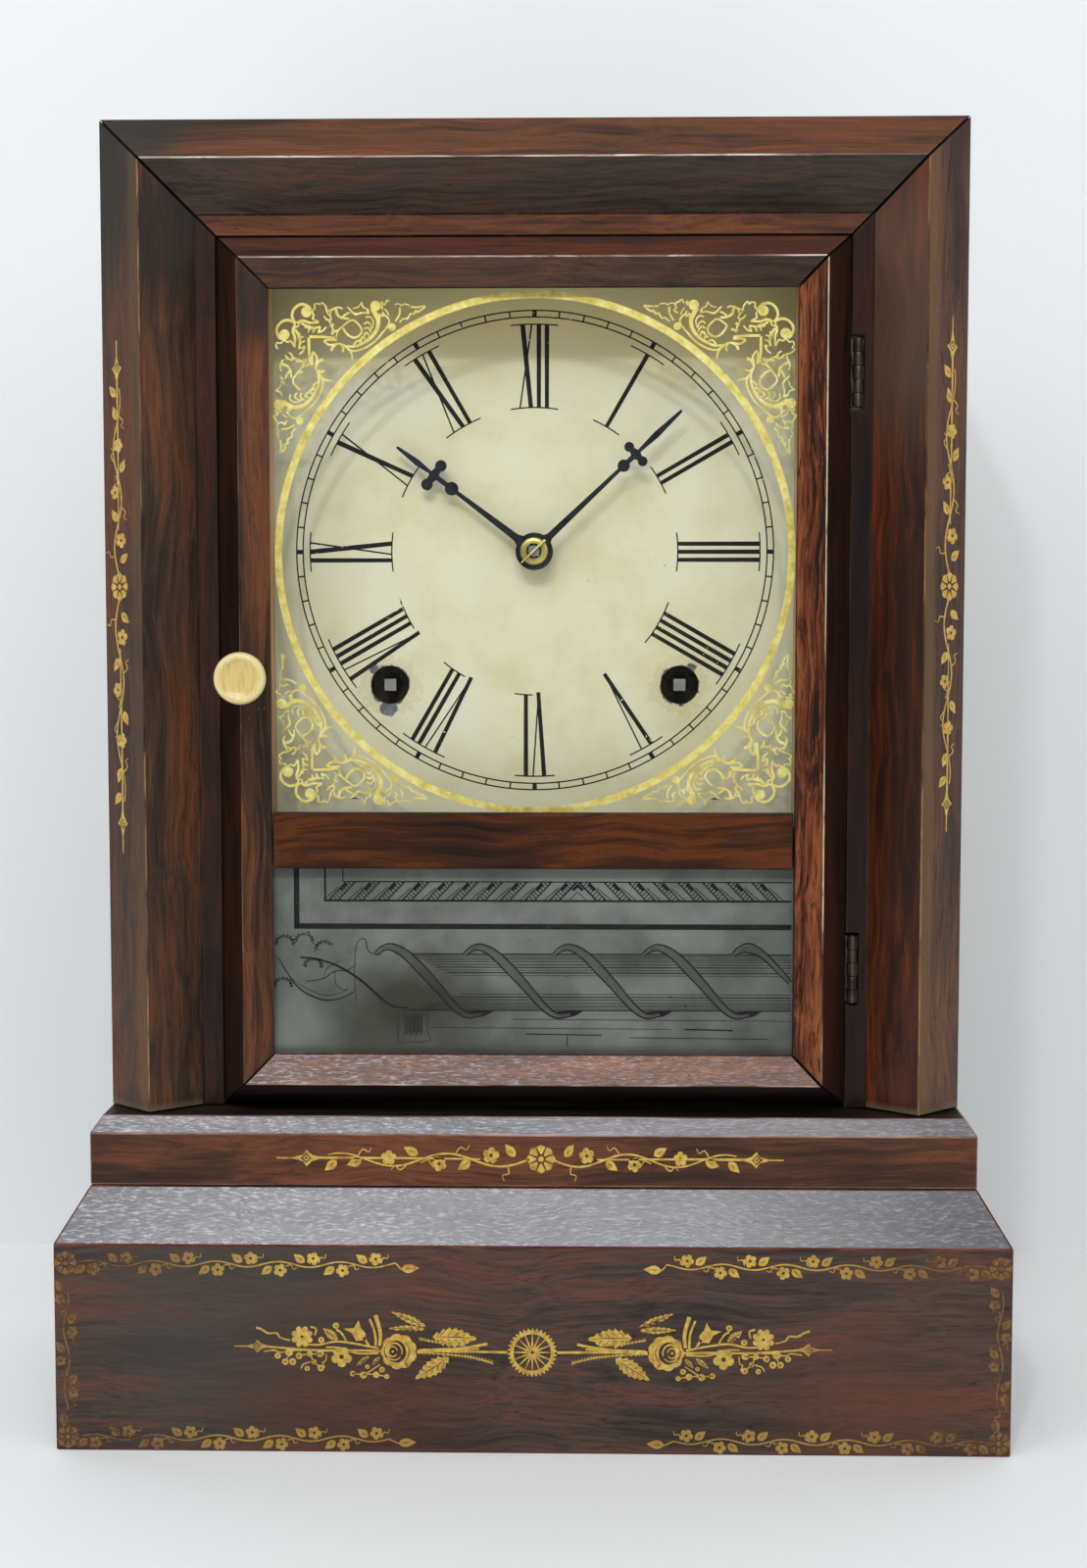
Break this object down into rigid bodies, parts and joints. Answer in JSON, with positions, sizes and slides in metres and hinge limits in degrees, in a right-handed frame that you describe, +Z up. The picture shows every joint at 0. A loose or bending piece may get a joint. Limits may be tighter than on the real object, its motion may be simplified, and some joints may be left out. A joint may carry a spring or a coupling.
{
  "type": "cottage clock",
  "caption": "Wooden cottage clock: stepped base, moulded case, hinged glazed door with turn knob, painted dial, hands and a two-train pendulum movement.",
  "frame": {"origin": "middle of the base's footprint, on the surface it stands on", "axes": "+Z up, front toward -Y, +X to the right as seen from the front"},
  "size_m": [0.2724, 0.115, 0.38],
  "materials": {
    "rosewood": "polished, worn",
    "pine": "bare",
    "glass": "clear",
    "tablet": "silvered and painted behind",
    "bone": "polished bone",
    "brass": "satin",
    "iron": "dark, worn",
    "steel": "satin",
    "blued_steel": "blued",
    "dial_paint": "cream paint, chipped at the holes"
  },
  "bodies": {
    "case": {"base_front_board": "rosewood", "base_side_left": "rosewood", "base_side_right": "rosewood", "base_back_rail": "pine", "plinth_board": "rosewood", "case_side_left": "rosewood", "case_side_right": "rosewood", "case_top_board": "rosewood", "back_board": "pine", "frame_stile_left": "rosewood", "frame_stile_right": "rosewood", "frame_top_rail": "rosewood", "hinge_case_leaf_upper": "iron", "hinge_case_leaf_lower": "iron", "dial_plate": "dial_paint", "dial_cleat_left": "pine", "dial_cleat_right": "pine", "front_plate": "brass", "back_plate": "brass", "movement_rail_left": "pine", "movement_rail_right": "pine", "time_mainspring": "steel", "strike_mainspring": "steel", "gong_coil": "steel", "gong_base": "iron"},
    "door": {"door_stile_left": "rosewood", "door_stile_right": "rosewood", "door_top_rail": "rosewood", "door_bottom_rail": "rosewood", "door_cross_rail": "rosewood", "dial_glass": "glass", "tablet_glass": "tablet", "glazing_strip_left": "pine", "glazing_strip_right": "pine", "hinge_door_leaf_upper": "iron", "hinge_door_leaf_lower": "iron"},
    "knob": {"door_knob": "bone", "latch": "brass"},
    "minute": {"center_arbor": "brass", "minute_hand": "blued_steel", "hand_washer": "brass", "hand_pin": "brass"},
    "hour": {"hour_wheel": "brass", "hour_hand": "blued_steel"},
    "minute_wheel": {"minute_wheel": "brass"},
    "time_great": {"time_great_wheel": "brass"},
    "time_winding": {"time_winding_arbor": "steel"},
    "time_second": {"time_second_wheel": "brass"},
    "third": {"third_wheel": "brass"},
    "escape": {"escape_wheel": "brass"},
    "verge": {"verge": "steel"},
    "pendulum": {"pendulum_rod": "steel", "pendulum_bob": "brass"},
    "strike_great": {"strike_great_wheel": "brass"},
    "strike_winding": {"strike_winding_arbor": "steel"},
    "strike_second": {"strike_second_wheel": "brass"},
    "strike_third": {"strike_third_wheel": "brass"},
    "fly": {"fly": "brass"},
    "hammer": {"hammer": "steel"}
  },
  "joints": [
    {"name": "door_swing", "type": "hinge", "parent": "case", "child": "door", "pos_m": [0.0927, -0.0335, 0.2214], "axis": [0, 0, 1], "range_deg": [0, 90]},
    {"name": "knob_turn", "type": "hinge", "parent": "door", "child": "knob", "pos_m": [-0.0816, -0.0291, 0.221], "axis": [0, 1, 0], "range_deg": [0, 90]},
    {"name": "minute_turn", "type": "hinge", "parent": "case", "child": "minute", "pos_m": [0, -0.0075, 0.2575], "axis": [0, 1, 0], "continuous": true},
    {"name": "hour_turn", "type": "hinge", "parent": "case", "child": "hour", "pos_m": [0, -0.0075, 0.2575], "axis": [0, 1, 0], "continuous": true},
    {"name": "minute_wheel_turn", "type": "hinge", "parent": "case", "child": "minute_wheel", "pos_m": [0.00848, -0.0075, 0.24901], "axis": [0, 1, 0], "continuous": true},
    {"name": "time_great_turn", "type": "hinge", "parent": "case", "child": "time_great", "pos_m": [0.043, -0.0075, 0.2182], "axis": [0, 1, 0], "continuous": true},
    {"name": "time_winding_turn", "type": "hinge", "parent": "case", "child": "time_winding", "pos_m": [0.043, -0.0075, 0.2182], "axis": [0, 1, 0], "continuous": true},
    {"name": "time_second_turn", "type": "hinge", "parent": "case", "child": "time_second", "pos_m": [0.02315, -0.0075, 0.24175], "axis": [0, 1, 0], "continuous": true},
    {"name": "third_turn", "type": "hinge", "parent": "case", "child": "third", "pos_m": [0.01605, -0.0075, 0.27846], "axis": [0, 1, 0], "continuous": true},
    {"name": "escape_turn", "type": "hinge", "parent": "case", "child": "escape", "pos_m": [0, -0.0075, 0.2935], "axis": [0, 1, 0], "continuous": true},
    {"name": "verge_rock", "type": "hinge", "parent": "case", "child": "verge", "pos_m": [0, -0.0075, 0.3138], "axis": [0, 1, 0], "range_deg": [-4, 4]},
    {"name": "pendulum_swing", "type": "hinge", "parent": "case", "child": "pendulum", "pos_m": [0, -0.0075, 0.3138], "axis": [0, 1, 0], "range_deg": [-4, 4]},
    {"name": "strike_great_turn", "type": "hinge", "parent": "case", "child": "strike_great", "pos_m": [-0.043, -0.0075, 0.2182], "axis": [0, 1, 0], "continuous": true},
    {"name": "strike_winding_turn", "type": "hinge", "parent": "case", "child": "strike_winding", "pos_m": [-0.043, -0.0075, 0.2182], "axis": [0, 1, 0], "continuous": true},
    {"name": "strike_second_turn", "type": "hinge", "parent": "case", "child": "strike_second", "pos_m": [-0.02315, -0.0075, 0.24175], "axis": [0, 1, 0], "continuous": true},
    {"name": "strike_third_turn", "type": "hinge", "parent": "case", "child": "strike_third", "pos_m": [-0.03715, -0.0075, 0.266], "axis": [0, 1, 0], "continuous": true},
    {"name": "fly_turn", "type": "hinge", "parent": "case", "child": "fly", "pos_m": [-0.02885, -0.0075, 0.28464], "axis": [0, 1, 0], "continuous": true},
    {"name": "hammer_lift", "type": "hinge", "parent": "case", "child": "hammer", "pos_m": [-0.012, -0.0075, 0.206], "axis": [0, -1, 0], "range_deg": [0, 8], "stiffness_Nm_per_rad": 0.02, "springref_deg": -8.59}
  ],
  "couplings": [
    {"joint": "hour_turn", "follows": "minute_turn", "ratio": 0.083333},
    {"joint": "minute_wheel_turn", "follows": "minute_turn", "ratio": -0.33333},
    {"joint": "time_second_turn", "follows": "minute_turn", "ratio": -0.11111},
    {"joint": "time_great_turn", "follows": "minute_turn", "ratio": 0.011111},
    {"joint": "third_turn", "follows": "minute_turn", "ratio": -10},
    {"joint": "escape_turn", "follows": "minute_turn", "ratio": 100},
    {"joint": "verge_rock", "follows": "pendulum_swing", "ratio": 1},
    {"joint": "strike_great_turn", "follows": "strike_second_turn", "ratio": -0.1},
    {"joint": "strike_third_turn", "follows": "strike_second_turn", "ratio": -9},
    {"joint": "fly_turn", "follows": "strike_second_turn", "ratio": 67.5}
  ]
}
